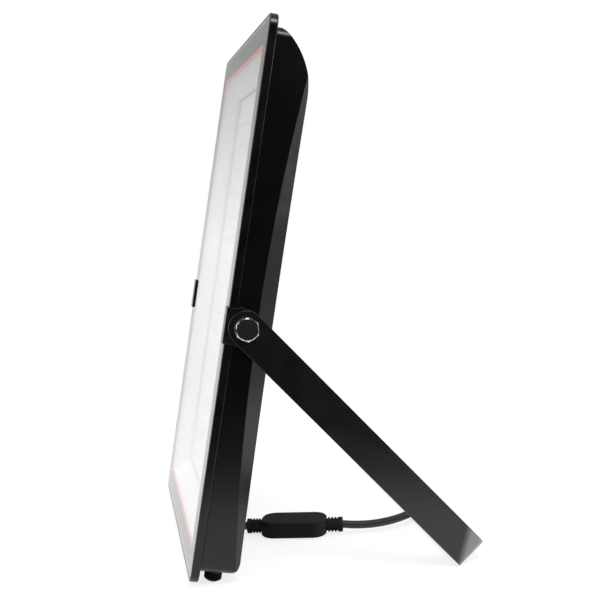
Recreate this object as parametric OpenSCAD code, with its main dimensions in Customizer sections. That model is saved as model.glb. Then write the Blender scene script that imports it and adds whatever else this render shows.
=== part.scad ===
// LED flood light with a tilting U-bracket, standing on its bottom edge and its bracket.
// Millimetres. The lamp faces -Y, +X is on the right of someone facing it, and Z is up.
// The floor is Z = 0. The lamp head is drawn upright and then leaned back onto the bracket.

/* [Panel] */
// Width of the front frame
panel_w = 240; // [220:1:280]
// Height of the front frame
panel_h = 340; // [320:1:380]
// Depth of the front frame, from its face back to the seam
rim_depth = 5.2; // [4.8:0.1:8]
// Corner radius of the front frame
rim_corner_r = 8; // [4:0.5:14]
// Width of the frame's lip around the glass
rim_lip = 2.2; // [1.5:0.1:4]
// Thickness of the glass
glass_t = 3; // [2.5:0.1:3.6]
// Printed border between the lip and the clear window, at the sides
side_border = 17.6; // [14:0.2:22]
// Printed border between the lip and the clear window, at the top and bottom
end_border = 16; // [14:0.2:22]

/* [Housing] */
// Depth of the whole head, from the frame's face to the back
head_depth = 29; // [28:0.1:34]
// Step from the frame in to the housing's sides
side_step = 0.8; // [0.4:0.1:1.2]
// Step from the frame in to the housing's top and bottom
end_step = 7.5; // [6:0.5:9]
// Wall thickness of the housing
wall_t = 4; // [3:0.5:5]
// Radius of the crown that rounds the top into the back
crown_r = 48; // [44:1:52]
// Height from the middle of the crown's curve up to the frame's top edge
crown_drop = 47; // [43:0.5:50]
// Radius of the bottom back edge
heel_r = 7.5; // [2:0.5:9]
// Corner radius of the housing seen from the front
body_corner_r = 6; // [3:0.5:9]
// Width of the side facets at their widest
facet_w = 11; // [6:0.1:12]
// Radius of the scoop that cuts each side facet
scoop_r = 1840; // [1500:10:2400]
// Depth of the grooves between the cooling fins
groove_depth = 6; // [3:0.5:6.5]
// Width of a groove
groove_w = 5; // [3:0.5:6]
// Distance from groove to groove
groove_pitch = 9; // [8:0.5:12]
// Plain strip left below the grooves, up from the frame's bottom edge
groove_start = 52; // [48:1:90]
// Plain strip left above the grooves, down from the frame's top edge
groove_stop = 60; // [55:1:90]

/* [Light engine] */
// How far the reflector's sides lean in on their way to the board
reflector_lean = 8; // [4:0.5:10]
// How far the reflector's ends lean in on their way to the board
reflector_end_lean = 13.5; // [8:0.5:14]
// Wall of the reflector
reflector_t = 1.2; // [0.8:0.1:1.5]
// Thickness of the board
board_t = 1.6; // [1:0.2:2]
// Thickness of the heat pad behind the board
pad_t = 0.4; // [0.2:0.1:0.8]
// Depth from the frame's face to the floor that the heat pad lies on
floor_depth = 17.4; // [17:0.1:18]
// Distance between the columns of chips
chip_pitch_x = 17; // [12:0.5:18]
// Distance between the rows of chips
chip_pitch_z = 17; // [12:0.5:18]
// Side of a chip
chip_side = 3.2; // [2:0.1:5]
// Height of a chip
chip_h = 0.8; // [0.4:0.1:1.2]
// Least gap between the outer chips and the heads of the board's screws
chip_side_gap = 5; // [2:0.5:8]
// Bare strip of the board above the chips
chip_top_gap = 16; // [10:0.5:20]
// Bare strip of the board below the chips, where the driver parts are
chip_bottom_gap = 32; // [26:0.5:36]

/* [Bracket] */
// Height of the pivot above the frame's bottom edge
pivot_z = 156.4; // [140:0.2:170]
// Depth of the pivot behind the frame's face
pivot_y = 11.1; // [10.5:0.1:12]
// Width of the steel strip
strip_w = 21; // [18:0.5:26]
// Thickness of the steel strip
strip_t = 3; // [2:0.5:4]
// Distance from the pivot to the crossbar's lower outside edge, along the arm
arm_reach = 200; // [196:0.5:230]
// Lean of the crossbar's face out of square with the arms, in degrees
crossbar_lean = 12.7; // [0:0.1:20]
// Outside radius of the two bends at the strip's upper edge
bend_r = 16; // [8:0.5:20]
// Outside radius of the two bends at the strip's lower edge
bend_low_r = 4; // [4:0.5:8]
// Diameter of the hole in the middle of the crossbar
centre_hole_d = 10.5; // [8:0.5:12]
// Diameter of the two outer holes in the crossbar
side_hole_d = 9; // [6:0.5:12]
// Distance between the two outer holes
side_hole_gap = 140; // [80:5:180]
// How far the lamp head leans back, in degrees
head_lean = 10.4; // [8:0.1:16]

/* [Pivot] */
// Diameter of the pivot bolts
bolt_d = 8; // [6:1:8]
// Length of a pivot bolt under its head
bolt_len = 20; // [18:1:22]
// Width across the flats of the bolt head
bolt_flats = 13; // [12:0.5:14]
// Height of the bolt head
bolt_head_h = 5.3; // [4:0.1:6.5]
// Thickness of the spring washer
spring_t = 1.8; // [1.2:0.1:2.4]
// Outside diameter of the spring washer
spring_d = 14; // [13:0.2:15]
// Thickness of the side clips
clip_t = 1.2; // [0.8:0.1:1.6]
// Height of the side clips
clip_h = 21.6; // [19:0.2:26]
// How far a clip's lip reaches in over the glass
clip_reach = 8.5; // [6:0.5:12]
// Diameter of the boss inside the housing that takes the bolt
boss_d = 18; // [15:0.5:20]

/* [Bottom plugs] */
// Diameter of the plug caps
plug_d = 10.8; // [10:0.2:13]
// Height of a plug below the housing, to the crown of its dome
plug_h = 7.6; // [7:0.1:12]
// Height of the dome on a plug
plug_dome = 2.3; // [1.5:0.1:3]
// Diameter of the plug's threaded stem
plug_stem_d = 7; // [6:0.5:8]
// Distance from a plug's axis to the side of the frame
plug_inset = 12; // [11:0.5:16]
// Depth of a plug's axis behind the frame's face
plug_y = 14.6; // [13:0.1:17]
// Thickness of the seal under the cap
plug_seal_t = 1.5; // [1:0.1:2]
// Diameter of the breather hole along a plug
breather_d = 2; // [1:0.5:3]

/* [Lead] */
// Diameter of the lead
lead_d = 5.4; // [5:0.1:5.4]
// Diameter of each core's insulation
core_d = 2; // [1.6:0.1:2]
// Place of the cable entry across the housing
entry_x = 19; // [14:1:22]
// Height of the cable entry above the frame's bottom edge
entry_z = 11.6; // [11.2:0.1:12.4]
// Depth from the frame's face to the end of the entry boss
entry_depth = 33; // [32.5:0.1:34]
// Outside diameter of the entry boss
entry_d = 15; // [14.5:0.5:16]
// Diameter of the grommet inside the boss
grommet_d = 10; // [9:0.5:11]
// Diameter of the grommet's flange
grommet_flange_d = 13.5; // [12:0.5:14]
// Thickness of the grommet's flange
grommet_flange_t = 2.5; // [2:0.1:3]
// Length of the moulded joint block
block_l = 44.6; // [40:0.2:48]
// Width of the moulded joint block
block_w = 26; // [22:0.5:28]
// Height of the moulded joint block
block_h = 11.1; // [10.4:0.1:12.2]
// Corner radius of the moulded joint block
block_r = 9.5; // [4:0.5:10.5]
// Chamfer along the top and bottom edges of the block
block_edge = 1; // [0.5:0.1:1.2]
// Diameter of the ribbed tails on the block
tail_d = 10; // [8:0.2:10.6]
// Length of the tail on the lamp's side
inlet_tail_l = 10; // [7:0.5:10.5]
// Length of the tail on the free side
outlet_tail_l = 11; // [6:0.5:12]

/* [Fits] */
// Gap between pieces that lie in a pocket and its walls
fit_gap = 0.2; // [0.1:0.05:0.4]
// Radial gap of the bracket on its bolts, and of screws in their holes
pin_gap = 0.05; // [0.02:0.01:0.1]
// Side gap between the bracket and what it turns against
turn_gap = 0.3; // [0.2:0.05:0.5]

/* [Hidden] */
$fn = 64;
eps = 0.01;
// How far a cutting outline runs past what it cuts
overshoot = 1;

// Front frame and glass
half_w = panel_w / 2;
mid_z = panel_h / 2;
window_w = panel_w - 2 * (rim_lip + side_border);
window_h = panel_h - 2 * (rim_lip + end_border);
seal_t = 0.5;
ledge_front = glass_t + seal_t;
opening_gap = 0.5;
opening_w = window_w + 2 * (reflector_t + opening_gap);
opening_h = window_h + 2 * (reflector_t + opening_gap);

// Housing
body_half_w = half_w - side_step;
body_bottom = end_step;
body_top = panel_h - end_step;
crown_z = panel_h - crown_drop;
cavity_half_w = body_half_w - wall_t - 2.2;
gasket_w = 2.4;
gasket_t = 1.6;
gasket_mid_w = body_half_w + cavity_half_w;
gasket_mid_h = body_top - body_bottom - wall_t;

// Light engine, counted from the floor of the housing forwards
board_back = floor_depth - pad_t;
board_front = board_back - board_t;
board_w = window_w - 2 * reflector_lean + 2 * reflector_t + 3;
board_bottom = body_bottom + wall_t + max(heel_r - wall_t, 2) + fit_gap;
board_top = mid_z + window_h / 2 - reflector_end_lean + reflector_t + 1.5;
reflector_front = glass_t + 0.3;
screw_x = window_w / 2 - reflector_lean - 5;
screw_z = [mid_z - window_h / 2 + reflector_end_lean + 6, mid_z, mid_z + window_h / 2 - reflector_end_lean - 6];
screw_d = 3;
screw_head_d = 5.5;
screw_head_h = 2;
screw_bite = 4;
chip_room_w = 2 * screw_x - screw_head_d - 2 * chip_side_gap - chip_side;
chip_room_h = window_h - 2 * reflector_end_lean - chip_top_gap - chip_bottom_gap - chip_side;
chip_columns = 1 + floor(chip_room_w / chip_pitch_x);
chip_rows = 1 + floor(chip_room_h / chip_pitch_z);
chip_mid_z = mid_z + (chip_bottom_gap - chip_top_gap) / 2;
// Driver parts in a row below the chips: width, depth and height of each kind
driver_drop = 9;
regulator = [8, 1.6, 5];
regulator_x = 20;
regulator_pitch = 14;
rectifier = [9, 2.4, 7];
rectifier_x = -40;
fuse = [12, 2.6, 4];
fuse_x = -64;

// Pivot stack on each side, from the frame's side outwards
clip_out = half_w + clip_t;
arm_in = clip_out + turn_gap;
arm_out = arm_in + strip_t;
tight_r = max(bend_low_r, strip_t + 1);
wide_r = max(bend_r, tight_r);
spring_in = arm_out + turn_gap;
head_in = spring_in + spring_t;
bolt_tip = head_in - bolt_len;
boss_in = bolt_tip - 3;

// Bottom plugs: the dome is part of a ball, and the lowest point of the ball is on the floor
plug_x = half_w - plug_inset;
plug_top = body_bottom - plug_seal_t;
plug_bottom = body_bottom - plug_h;
dome_base_r = plug_d / 2;
dome_r = (dome_base_r * dome_base_r + plug_dome * plug_dome) / (2 * plug_dome);
dome_z = plug_bottom + dome_r;
stem_len = 8;

// Where the leaned head puts the floor, the pivot and the bracket
floor_lift = dome_r - (dome_z * cos(head_lean) - plug_y * sin(head_lean));
pivot_world_y = pivot_y * cos(head_lean) + pivot_z * sin(head_lean);
pivot_world_z = pivot_z * cos(head_lean) - pivot_y * sin(head_lean) + floor_lift;
corner_reach = sqrt(arm_reach * arm_reach + strip_w * strip_w / 4);
arm_drop = asin(pivot_world_z / corner_reach) - atan(strip_w / 2 / arm_reach);
crossbar_step = strip_w * tan(crossbar_lean);
back_world_y = pivot_world_y + (arm_reach + crossbar_step) * cos(arm_drop) + strip_w / 2 * sin(arm_drop);
centre_y = back_world_y / 2;

// Cable entry
pocket_back = floor_depth + 6;
pocket_half_w = 8;
pocket_bottom = entry_z - 2.8;
pocket_top = entry_z + 19.5;
jacket_end = pocket_back - 1;
slot_bottom = entry_z + 12.5;
slot_top = entry_z + 18;
terminal_top = entry_z + 10.5;
terminal_bottom = terminal_top - 6.5;
terminal_h = 5;
core_gap = 3.4;
core_spread = 0.63 * core_d;

// Moulded joint block and lead, in the room's own frame
block_turn = 16;
block_rise = 1;
block_at = [29.1, -14.05, block_h / 2 + block_l / 2 * sin(block_rise) + 0.2];
// Parting groove round the block: its depth below the top, its height and how far it cuts in
part_line = [2.2, 0.8, 0.4];
lead_sides = 12;
core_sides = 8;
// Free stretch from the grommet to the block's tail
inlet_free = [[19.1, -52, 6.97], [19.45, -48.6, 6]];
// Free stretch from the block to the stripped end, which stops short of the crossbar
outlet_free = [[39.8, 24.8, 6.3], [40.6, 32.7, 6], [40.3, 40.7, 6], [38.9, 48.6, 6.3], [36.5, 56.2, 6.8],
    [33.6, 62.6, 7.4]];
outlet_end = [29.6, 69.1, 8.2];
// Middles of the three bare cores beyond the stripped end, along X, Y and Z from that end
core_bends = [[-1.6, 2.2, 1.1], [-5, 3.9, 2.6], [-12, 4.6, 3.8], [-20, 4.8, 4.4]];
core_side_steps = [[0.3, 0.3, 2.4], [-1.6, -1.6, 0], [1.2, 1.2, -0.3]];
tip_len = 8;
tip_d = 1.4;

// Places a piece of the upright head in the room
module on_head() {
    translate([0, -centre_y, floor_lift])
        rotate([-head_lean, 0, 0])
            children();
}

// Where a point of the upright head is in the room
function in_room(p) = [
    p[0],
    p[1] * cos(head_lean) + p[2] * sin(head_lean) - centre_y,
    p[2] * cos(head_lean) - p[1] * sin(head_lean) + floor_lift
];

// Places a piece of the bracket in the room: Y runs along the arms, from the pivot
module on_bracket() {
    translate([0, pivot_world_y - centre_y, pivot_world_z])
        rotate([-arm_drop, 0, 0])
            children();
}

// Places a piece on the middle of the crossbar's outside: Y points out of its face
module on_crossbar() {
    translate([0, arm_reach + crossbar_step / 2, 0])
        rotate([-crossbar_lean, 0, 0])
            children();
}

// A point of the strip's bend at its lower or upper edge: its depth under the outside and its turn
function bend_point(upper, depth, turn) = let (r = upper ? wide_r : tight_r) [
    arm_out - r + (r - depth) * cos(turn),
    arm_reach + (upper ? crossbar_step : 0) - r + (r - depth / cos(crossbar_lean)) * sin(turn),
    (upper ? 0.5 : -0.5) * strip_w
];

// Section across the strip's bend
function bend_section(turn) = [
    bend_point(false, 0, turn), bend_point(true, 0, turn),
    bend_point(true, strip_t, turn), bend_point(false, strip_t, turn)
];

// Sections across half of the strip, from its eye to the end of its bend
half_strip = concat(
    [[[arm_out, 0, -strip_w / 2], [arm_out, 0, strip_w / 2], [arm_in, 0, strip_w / 2], [arm_in, 0, -strip_w / 2]]],
    [for (turn = [0:9:90]) bend_section(turn)]
);

// Solid through four-cornered sections, whose second half mirrors the first
module strip_through(sections) {
    last = len(sections) - 1;
    polyhedron(
        points = [for (section = sections) each section],
        faces = concat(
            [[3, 2, 1, 0], [for (j = [0:3]) 4 * last + j]],
            [for (i = [0:last - 1]) for (j = [0:3]) let (a = 4 * i + j, b = 4 * i + (j + 1) % 4)
                each i < last / 2 ? [[a, b, b + 4], [a, b + 4, a + 4]] : [[a, b, a + 4], [b, b + 4, a + 4]]]
        )
    );
}

// Places a piece of the joint block in the room: Y runs along the lead
module on_block() {
    translate(block_at)
        rotate([block_rise, 0, -block_turn])
            children();
}

// Extrudes an outline seen from the front (X, Z) from one depth to another
module from_front(y0, y1) {
    translate([0, y1, 0])
        rotate([90, 0, 0])
            linear_extrude(height = y1 - y0)
                children();
}

// Extrudes an outline seen from the side (Y, Z) from one X to another
module from_side(x0, x1) {
    translate([x0, 0, 0])
        rotate([90, 0, 90])
            linear_extrude(height = x1 - x0)
                children();
}

// Rectangle with round corners, centred
module round_rect(w, h, r) {
    square([w - 2 * r, h], center = true);
    square([w, h - 2 * r], center = true);
    for (x = [-1, 1], z = [-1, 1])
        translate([x * (w / 2 - r), z * (h / 2 - r)])
            circle(r = r);
}

// Cylinder along Y
module rod_y(d, y0, y1) {
    translate([0, y0, 0])
        rotate([-90, 0, 0])
            cylinder(d = d, h = y1 - y0);
}

// Cylinder along X
module rod_x(d, x0, x1) {
    translate([x0, 0, 0])
        rotate([0, 90, 0])
            cylinder(d = d, h = x1 - x0);
}

// Draws a piece on both sides of the lamp
module both_sides() {
    children();
    mirror([1, 0, 0])
        children();
}

// Side view of the housing, drawn in by a margin: flat bottom, round heel, long crown at the top
module side_outline(front, back, bottom, top, margin) {
    round_r = max(heel_r - margin, 0.5);
    arc_r = crown_r - margin;
    intersection() {
        union() {
            translate([front, bottom + round_r])
                square([back - front, top - bottom - round_r]);
            translate([front, bottom])
                square([back - front - round_r, round_r + eps]);
            translate([back - round_r, bottom + round_r])
                circle(r = round_r);
        }
        union() {
            translate([front, bottom])
                square([back - front, crown_z - bottom]);
            translate([head_depth - crown_r, crown_z])
                circle(r = arc_r, $fn = 180);
        }
    }
}

module housing_body() {
    intersection() {
        from_front(rim_depth, head_depth)
            translate([0, (body_top + body_bottom) / 2])
                round_rect(2 * body_half_w, body_top - body_bottom, body_corner_r);
        from_side(-body_half_w, body_half_w)
            side_outline(rim_depth, head_depth, body_bottom, body_top + overshoot, 0);
    }
}

// Long shallow scoop that cuts the facet between a side and the back
module facet_scoop() {
    depth = facet_w / sqrt(2);
    translate([body_half_w, head_depth, pivot_z])
        rotate([0, 0, 45])
            translate([scoop_r - depth, 0, 0])
                rotate([90, 0, 0])
                    cylinder(r = scoop_r, h = 4 * facet_w, center = true, $fn = 480);
}

// Room inside the housing, behind the front frame
module cavity() {
    intersection() {
        from_front(rim_depth - 1, floor_depth)
            translate([0, (body_top + body_bottom) / 2])
                round_rect(2 * cavity_half_w, body_top - body_bottom - 2 * wall_t, body_corner_r);
        from_side(-cavity_half_w, cavity_half_w)
            side_outline(rim_depth - 1, floor_depth, body_bottom + wall_t, body_top - wall_t + overshoot, wall_t);
    }
}

module gasket_ring(y0, y1, w) {
    from_front(y0, y1)
        translate([0, (body_top + body_bottom) / 2])
            difference() {
                round_rect(gasket_mid_w + w, gasket_mid_h + w, body_corner_r);
                round_rect(gasket_mid_w - w, gasket_mid_h - w, body_corner_r - w / 2);
            }
}

module housing() {
    groove_span = window_w - 2 * groove_pitch;
    color("#1c1d1e")
        on_head()
            difference() {
                union() {
                    difference() {
                        housing_body();
                        cavity();
                        both_sides()
                            facet_scoop();
                        for (x = [-floor(groove_span / 2 / groove_pitch) : floor(groove_span / 2 / groove_pitch)])
                            translate([x * groove_pitch - groove_w / 2, head_depth - groove_depth, groove_start])
                                cube([groove_w, groove_depth + 1, panel_h - groove_start - groove_stop]);
                    }
                    // Bosses and side pads for the pivot bolts
                    both_sides()
                        translate([0, 0, pivot_z]) {
                            intersection() {
                                translate([0, pivot_y, 0])
                                    rod_x(boss_d, boss_in, body_half_w - 1);
                                translate([0, rim_depth, -boss_d])
                                    cube([half_w, floor_depth + 1 - rim_depth, 2 * boss_d]);
                            }
                            intersection() {
                                translate([0, pivot_y, 0])
                                    rod_x(strip_w, body_half_w - 1, half_w);
                                translate([0, rim_depth, -boss_d])
                                    cube([half_w, head_depth - facet_w - rim_depth, 2 * boss_d]);
                            }
                        }
                    // Bosses for the bottom plugs
                    both_sides()
                        intersection() {
                            translate([plug_x, plug_y, body_bottom])
                                cylinder(d = plug_d, h = stem_len + 2);
                            translate([0, rim_depth, 0])
                                cube([body_half_w - 1, floor_depth + 2 - rim_depth, panel_h]);
                        }
                    // Boss for the cable entry
                    translate([entry_x, 0, entry_z])
                        rod_y(entry_d, floor_depth + 1, entry_depth);
                }
                // Groove for the gasket
                gasket_ring(rim_depth - 1, rim_depth + gasket_t, gasket_w);
                // Bolt holes
                both_sides()
                    translate([0, pivot_y, pivot_z])
                        rod_x(bolt_d + 2 * pin_gap, bolt_tip - 1, half_w + 1);
                // Plug holes
                both_sides()
                    translate([plug_x, plug_y, body_bottom - 1])
                        cylinder(d = plug_stem_d + 2 * pin_gap, h = stem_len + 4);
                // Screw holes for the board
                for (x = [-screw_x, screw_x], z = screw_z)
                    translate([x, 0, z])
                        rod_y(screw_d + 2 * pin_gap, floor_depth - 1, floor_depth + screw_bite);
                // Cable entry and the pocket that it opens into
                translate([entry_x, 0, entry_z])
                    rod_y(grommet_d, pocket_back - 1, entry_depth + 1);
                translate([entry_x - pocket_half_w, floor_depth - 1, pocket_bottom])
                    cube([2 * pocket_half_w, pocket_back - floor_depth + 1, pocket_top - pocket_bottom]);
            }
}

module bezel() {
    color("#161718")
        on_head()
            translate([0, 0, mid_z])
                difference() {
                    from_front(0, rim_depth)
                        round_rect(panel_w, panel_h, rim_corner_r);
                    from_front(-1, ledge_front)
                        round_rect(panel_w - 2 * rim_lip, panel_h - 2 * rim_lip, rim_corner_r - rim_lip);
                    from_front(-1, rim_depth + 1)
                        square([opening_w, opening_h], center = true);
                }
}

module glass() {
    color("#e6ecec", 0.4)
        on_head()
            translate([0, 0, mid_z])
                from_front(0, glass_t)
                    round_rect(panel_w - 2 * rim_lip - 2 * fit_gap, panel_h - 2 * rim_lip - 2 * fit_gap,
                        rim_corner_r - rim_lip - fit_gap);
}

module glass_seal() {
    color("#2a2a2a")
        on_head()
            translate([0, 0, mid_z])
                from_front(glass_t, ledge_front)
                    difference() {
                        round_rect(panel_w - 2 * rim_lip - 2, panel_h - 2 * rim_lip - 2, rim_corner_r - rim_lip - 1);
                        square([opening_w + 4, opening_h + 4], center = true);
                    }
}

module housing_gasket() {
    color("#3a3a3a")
        on_head()
            gasket_ring(rim_depth, rim_depth + gasket_t, gasket_w - fit_gap);
}

// Funnel with flat sides, from the window to the board; grow makes it larger all round
module funnel(grow, y0, y1) {
    lean_x = reflector_lean / (board_front - reflector_front);
    lean_z = reflector_end_lean / (board_front - reflector_front);
    hull()
        for (y = [y0, y1])
            from_front(y, y + eps)
                square([window_w + 2 * grow - 2 * lean_x * (y - reflector_front),
                    window_h + 2 * grow - 2 * lean_z * (y - reflector_front)], center = true);
}

module reflector() {
    color("#f4f4f2")
        on_head()
            translate([0, 0, mid_z])
                difference() {
                    funnel(reflector_t, reflector_front, board_front - eps);
                    funnel(0, reflector_front - 1, board_front + 1);
                }
}

module board_sheet(y0, y1) {
    difference() {
        translate([-board_w / 2, y0, board_bottom])
            cube([board_w, y1 - y0, board_top - board_bottom]);
        for (x = [-screw_x, screw_x], z = screw_z)
            translate([x, 0, z])
                rod_y(screw_d + 2 * pin_gap, y0 - 1, y1 + 1);
        translate([entry_x - pocket_half_w + 1, y0 - 1, slot_bottom])
            cube([2 * pocket_half_w - 2, y1 - y0 + 2, slot_top - slot_bottom]);
    }
}

module led_board() {
    color("#f0f0ee")
        on_head()
            board_sheet(board_front, board_back);
}

module thermal_pad() {
    color("#8f9396")
        on_head()
            board_sheet(board_back, floor_depth);
}

module led_chips() {
    color("#f2d34a")
        on_head()
            for (i = [0 : chip_columns - 1], j = [0 : chip_rows - 1])
                translate([(i - (chip_columns - 1) / 2) * chip_pitch_x - chip_side / 2, board_front - chip_h,
                    chip_mid_z + (j - (chip_rows - 1) / 2) * chip_pitch_z - chip_side / 2])
                    cube([chip_side, chip_h, chip_side]);
}

// Rectifier, fuse and four current regulators in a row along the bottom of the board
module driver_parts() {
    row_z = chip_mid_z - (chip_rows - 1) / 2 * chip_pitch_z - chip_side / 2 - driver_drop;
    color("#202022")
        on_head() {
            for (i = [0 : 3])
                translate([regulator_x + i * regulator_pitch, board_front - regulator[1], row_z])
                    cube(regulator);
            translate([rectifier_x, board_front - rectifier[1], row_z])
                cube(rectifier);
            translate([fuse_x, board_front - fuse[1], row_z])
                cube(fuse);
        }
}

module terminal_block() {
    color("#e9e7e0")
        on_head()
            difference() {
                translate([entry_x - pocket_half_w + 1, board_front - terminal_h, terminal_bottom])
                    cube([2 * pocket_half_w - 2, terminal_h, terminal_top - terminal_bottom]);
                for (i = [-1, 0, 1])
                    translate([entry_x + i * core_gap, board_front - core_d / 2 - 0.8, terminal_top - 4])
                        cylinder(d = core_d + 2 * fit_gap, h = 5);
            }
}

module board_screws() {
    color("#b9bcbf")
        on_head()
            for (x = [-screw_x, screw_x], z = screw_z)
                translate([x, 0, z]) {
                    rod_y(screw_head_d, board_front - screw_head_h, board_front);
                    rod_y(screw_d, board_front - 1, floor_depth + screw_bite - 0.5);
                }
}

module side_clip() {
    color("#131415")
        on_head()
            difference() {
                union() {
                    from_side(half_w, clip_out) {
                        translate([-clip_t, pivot_z - clip_h / 2])
                            square([clip_t + pivot_y, clip_h]);
                        translate([pivot_y, pivot_z])
                            circle(d = clip_h);
                        // Small ears just behind the frame
                        translate([rim_depth + 0.7, pivot_z - clip_h / 2 - 0.9])
                            square([2.3, clip_h + 1.8]);
                    }
                    translate([clip_out - clip_t - clip_reach, -clip_t, pivot_z - clip_h / 2])
                        cube([clip_t + clip_reach, clip_t, clip_h]);
                }
                translate([0, pivot_y, pivot_z])
                    rod_x(bolt_d + 2 * pin_gap, half_w - 1, clip_out + 1);
            }
}

module right_clip() {
    side_clip();
}

module left_clip() {
    mirror([1, 0, 0])
        side_clip();
}

module pivot_bolts() {
    color("#c9cbcc")
        on_head()
            both_sides()
                translate([0, pivot_y, pivot_z]) {
                    rod_x(bolt_d, bolt_tip, head_in + 1);
                    intersection() {
                        translate([head_in, 0, 0])
                            rotate([0, 90, 0])
                                rotate([0, 0, 12])
                                    cylinder(d = bolt_flats / cos(30), h = bolt_head_h, $fn = 6);
                        // Round chamfer on the outer face of the head
                        translate([head_in, 0, 0])
                            rotate([0, 90, 0])
                                cylinder(r1 = bolt_flats / 2 + bolt_head_h * 1.73,
                                    r2 = bolt_flats / 2 - 0.4, h = bolt_head_h);
                    }
                }
}

module spring_washers() {
    color("#b4b6b8")
        on_head()
            both_sides()
                translate([0, pivot_y, pivot_z])
                    difference() {
                        rod_x(spring_d, spring_in, head_in);
                        rod_x(bolt_d + 2 * pin_gap, spring_in - 1, head_in + 1);
                        // The split of the spring washer
                        rotate([60, 0, 0])
                            translate([spring_in - 1, 0, -0.4])
                                cube([spring_t + 2, spring_d, 0.8]);
                    }
}

module bracket() {
    color("#17181a")
        on_bracket()
            difference() {
                union() {
                    both_sides()
                        from_side(arm_in, arm_out)
                            circle(d = strip_w);
                    // One strip from eye to eye, through conical bends tangent to arms and crossbar
                    strip_through(concat(half_strip, [
                        for (i = [len(half_strip) - 1:-1:0]) [for (p = half_strip[i]) [-p[0], p[1], p[2]]]
                    ]));
                }
                rod_x(bolt_d + 2 * pin_gap, -arm_out - 1, arm_out + 1);
                on_crossbar() {
                    rod_y(centre_hole_d, -strip_t - 1, 1);
                    for (x = [-side_hole_gap / 2, side_hole_gap / 2])
                        translate([x, 0, 0])
                            rod_y(side_hole_d, -strip_t - 1, 1);
                }
            }
}

module bottom_plugs() {
    color("#0e0e0f")
        on_head()
            both_sides()
                translate([plug_x, plug_y, 0])
                    difference() {
                        union() {
                            intersection() {
                                translate([0, 0, plug_bottom - 1])
                                    cylinder(d = plug_d, h = plug_top - plug_bottom + 1);
                                union() {
                                    translate([0, 0, dome_z])
                                        sphere(r = dome_r, $fn = 96);
                                    translate([0, 0, plug_bottom + plug_dome])
                                        cylinder(d = plug_d + 2, h = plug_h);
                                }
                            }
                            translate([0, 0, plug_top - 1])
                                cylinder(d = plug_stem_d, h = plug_seal_t + stem_len + 1);
                        }
                        translate([0, 0, plug_bottom - 1])
                            cylinder(d = breather_d, h = plug_h + stem_len + 2);
                    }
}

module plug_seals() {
    color("#2b2b2b")
        on_head()
            both_sides()
                translate([plug_x, plug_y, plug_top])
                    difference() {
                        cylinder(d = plug_d - 1, h = plug_seal_t);
                        translate([0, 0, -1])
                            cylinder(d = plug_stem_d + 2 * pin_gap, h = plug_seal_t + 2);
                    }
}

module cable_grommet() {
    color("#1b1b1c")
        on_head()
            translate([entry_x, 0, entry_z])
                difference() {
                    union() {
                        rod_y(grommet_d - 2 * pin_gap, pocket_back, entry_depth + 1);
                        rod_y(grommet_flange_d, entry_depth, entry_depth + grommet_flange_t);
                    }
                    rod_y(lead_d + 2 * pin_gap, pocket_back - 1, entry_depth + grommet_flange_t + 1);
                }
}

// One closed tube swept along a route of points
function unit(v) = v / norm(v);
function heading(route, i) = unit(route[min(i + 1, len(route) - 1)] - route[max(i - 1, 0)]);
function side_of(t) = unit(cross(t, abs(t[2]) > 0.9 ? [1, 0, 0] : [0, 0, 1]));
function ring(route, i, r, sides, first, last) =
    let (t = i == 0 ? first : i == len(route) - 1 ? last : heading(route, i),
        s = side_of(t),
        u = cross(s, t))
    [for (k = [0 : sides - 1]) route[i] + r * (cos(360 * k / sides) * s + sin(360 * k / sides) * u)];

module tube(route, r, sides, first, last) {
    n = len(route);
    points = [for (i = [0 : n - 1]) each ring(route, i, r, sides, unit(first), unit(last))];
    walls = [for (i = [0 : n - 2], k = [0 : sides - 1])
        let (a = i * sides + k, b = i * sides + (k + 1) % sides)
        each [[a, b, a + sides], [b, b + sides, a + sides]]];
    near_end = [for (k = [1 : sides - 2]) [0, k + 1, k]];
    far_end = [for (k = [1 : sides - 2]) let (o = (n - 1) * sides) [o, o + k, o + k + 1]];
    polyhedron(points = points, faces = concat(near_end, walls, far_end), convexity = 10);
}

// Directions and ends that the lead takes from the grommet and the block
grommet_out = [0, cos(head_lean), -sin(head_lean)];
lead_start = in_room([entry_x, jacket_end, entry_z]);
lead_at_grommet = in_room([entry_x, entry_depth + grommet_flange_t, entry_z]);
block_along = [sin(block_turn) * cos(block_rise), cos(block_turn) * cos(block_rise), sin(block_rise)];
inlet_end = block_at - (block_l / 2 + inlet_tail_l) * block_along;
outlet_start = block_at + (block_l / 2 + outlet_tail_l) * block_along;
outlet_out = unit([-0.52, 0.83, 0.12]);

module inlet_lead() {
    color("#131314")
        tube(concat([lead_start, lead_at_grommet], inlet_free, [inlet_end]), lead_d / 2, lead_sides,
            grommet_out, block_along);
}

module outlet_lead() {
    color("#131314")
        tube(concat([outlet_start], outlet_free, [outlet_end]), lead_d / 2, lead_sides,
            block_along, outlet_out);
}

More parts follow.
